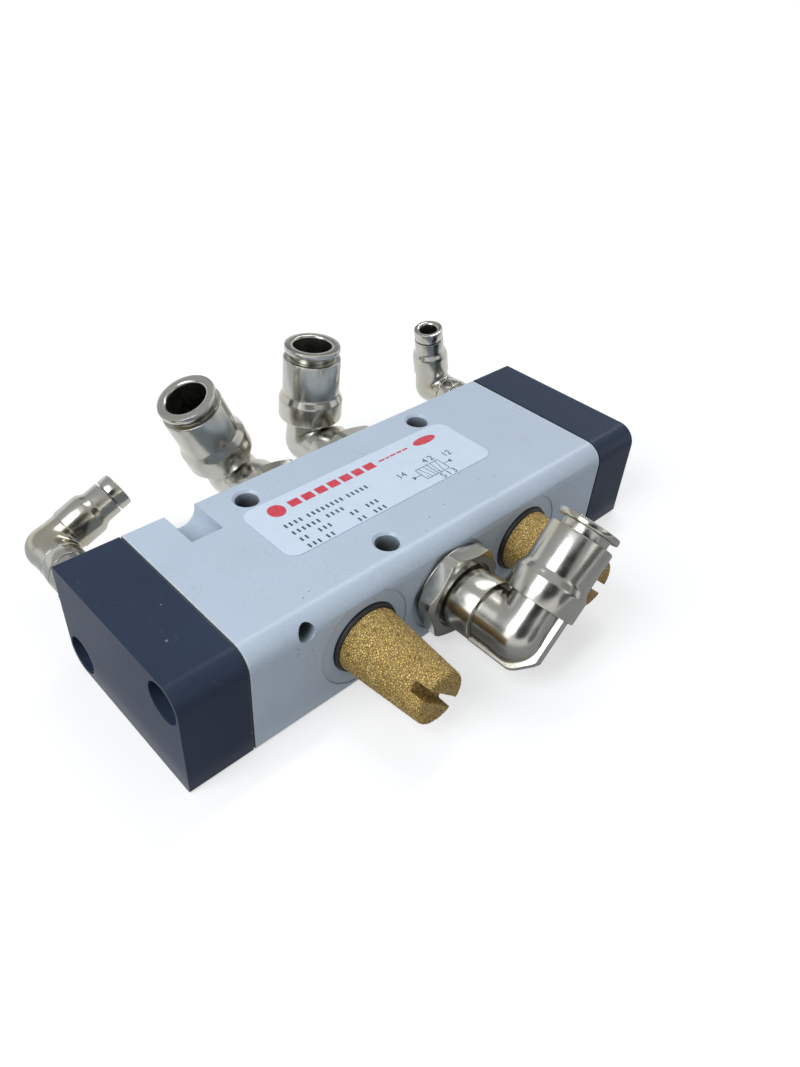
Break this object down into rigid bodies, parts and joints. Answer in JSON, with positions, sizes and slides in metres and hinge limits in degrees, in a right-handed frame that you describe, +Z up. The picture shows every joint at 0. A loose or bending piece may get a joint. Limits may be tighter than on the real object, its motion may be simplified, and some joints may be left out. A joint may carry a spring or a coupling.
{
  "type": "pneumatic valve",
  "caption": "Inline spool valve with air pilots at both ends, push-in swivel elbows on supply, outlets and pilots, and cone silencers on the exhausts.",
  "frame": {"origin": "middle of the flat underside of the valve block", "axes": "+X along the valve towards the right end cap, -Y to the front with the supply and exhaust ports, +Y to the back with the outlets and pilots, +Z up"},
  "size_m": [0.114, 0.0849, 0.0344],
  "materials": {
    "block": "satin pale blue-grey coating",
    "cap": "satin dark blue coating",
    "gasket": "matte",
    "screw_steel": "blackened",
    "label": "satin printed film",
    "sintered_bronze": "granular sintered",
    "bush": "satin",
    "cage": "matte",
    "seal_rubber": "matte",
    "spool_metal": "hard coated, polished",
    "piston_plastic": "matte",
    "nickel": "bright nickel plating",
    "seat_washer": "satin"
  },
  "bodies": {
    "root": {"valve_body": "block", "end_cap_left": "cap", "end_cap_right": "cap", "cap_gasket_left": "gasket", "cap_gasket_right": "gasket", "cap_screws_left": "screw_steel", "cap_screws_right": "screw_steel", "name_label": "label", "silencer_port_5": "sintered_bronze", "silencer_port_3": "sintered_bronze", "piston_bush_left": "bush", "piston_bush_right": "bush", "spool_cage_port_5": "cage", "spool_cage_port_4": "cage", "spool_cage_port_1": "cage", "spool_cage_port_2": "cage", "spool_cage_port_3": "cage", "spool_seal_1": "seal_rubber", "spool_seal_2": "seal_rubber", "spool_seal_3": "seal_rubber", "spool_seal_4": "seal_rubber", "spool_seal_5": "seal_rubber", "spool_seal_6": "seal_rubber", "port_1_adapter": "nickel", "port_1_seat_washer": "seat_washer", "port_1_swivel_seal": "seal_rubber", "port_2_adapter": "nickel", "port_2_seat_washer": "seat_washer", "port_2_swivel_seal": "seal_rubber", "port_4_adapter": "nickel", "port_4_seat_washer": "seat_washer", "port_4_swivel_seal": "seal_rubber", "pilot_12_adapter": "nickel", "pilot_12_seat_washer": "seat_washer", "pilot_12_swivel_seal": "seal_rubber", "pilot_14_adapter": "nickel", "pilot_14_seat_washer": "seat_washer", "pilot_14_swivel_seal": "seal_rubber"},
    "spool_set": {"spool": "spool_metal", "piston_left": "piston_plastic", "piston_right": "piston_plastic", "piston_seal_left": "seal_rubber", "piston_seal_right": "seal_rubber"},
    "port_1_swivel": {"port_1_elbow": "nickel", "port_1_tube_seal": "seal_rubber"},
    "port_1_release": {"port_1_collet": "nickel"},
    "port_2_swivel": {"port_2_elbow": "nickel", "port_2_tube_seal": "seal_rubber"},
    "port_2_release": {"port_2_collet": "nickel"},
    "port_4_swivel": {"port_4_elbow": "nickel", "port_4_tube_seal": "seal_rubber"},
    "port_4_release": {"port_4_collet": "nickel"},
    "pilot_12_swivel": {"pilot_12_elbow": "nickel", "pilot_12_tube_seal": "seal_rubber"},
    "pilot_12_release": {"pilot_12_collet": "nickel"},
    "pilot_14_swivel": {"pilot_14_elbow": "nickel", "pilot_14_tube_seal": "seal_rubber"},
    "pilot_14_release": {"pilot_14_collet": "nickel"}
  },
  "joints": [
    {"name": "spool_slide", "type": "slide", "parent": "root", "child": "spool_set", "axis": [1, 0, 0], "range_m": [0, 0.005]},
    {"name": "port_1_swivel_turn", "type": "hinge", "parent": "root", "child": "port_1_swivel", "pos_m": [0, -0.035, 0.0104], "axis": [0, -1, 0], "range_deg": [-8, 96]},
    {"name": "port_1_release_press", "type": "slide", "parent": "port_1_swivel", "child": "port_1_release", "axis": [0.6947, 0, 0.7193], "range_m": [-0.0011, 0.0003]},
    {"name": "port_2_swivel_turn", "type": "hinge", "parent": "root", "child": "port_2_swivel", "pos_m": [0.0105, 0.0359, 0.011], "axis": [0, -1, 0], "range_deg": [-43.3, 10.7]},
    {"name": "port_2_release_press", "type": "slide", "parent": "port_2_swivel", "child": "port_2_release", "axis": [0.0471, 0, 0.9989], "range_m": [-0.0011, 0.0003]},
    {"name": "port_4_swivel_turn", "type": "hinge", "parent": "root", "child": "port_4_swivel", "pos_m": [-0.0105, 0.0359, 0.011], "axis": [0, -1, 0], "range_deg": [-31.5, 22.5]},
    {"name": "port_4_release_press", "type": "slide", "parent": "port_4_swivel", "child": "port_4_release", "axis": [-0.3987, 0, 0.9171], "range_m": [-0.0011, 0.0003]},
    {"name": "pilot_12_swivel_turn", "type": "hinge", "parent": "root", "child": "pilot_12_swivel", "pos_m": [0.051, 0.0362, 0.011], "axis": [0, -1, 0], "continuous": true},
    {"name": "pilot_12_release_press", "type": "slide", "parent": "pilot_12_swivel", "child": "pilot_12_release", "axis": [-0.2079, 0, 0.9781], "range_m": [-0.00025, 0.0008]},
    {"name": "pilot_14_swivel_turn", "type": "hinge", "parent": "root", "child": "pilot_14_swivel", "pos_m": [-0.051, 0.0362, 0.011], "axis": [0, -1, 0], "continuous": true},
    {"name": "pilot_14_release_press", "type": "slide", "parent": "pilot_14_swivel", "child": "pilot_14_release", "axis": [0.9135, 0, 0.4067], "range_m": [-0.00025, 0.0008]}
  ]
}
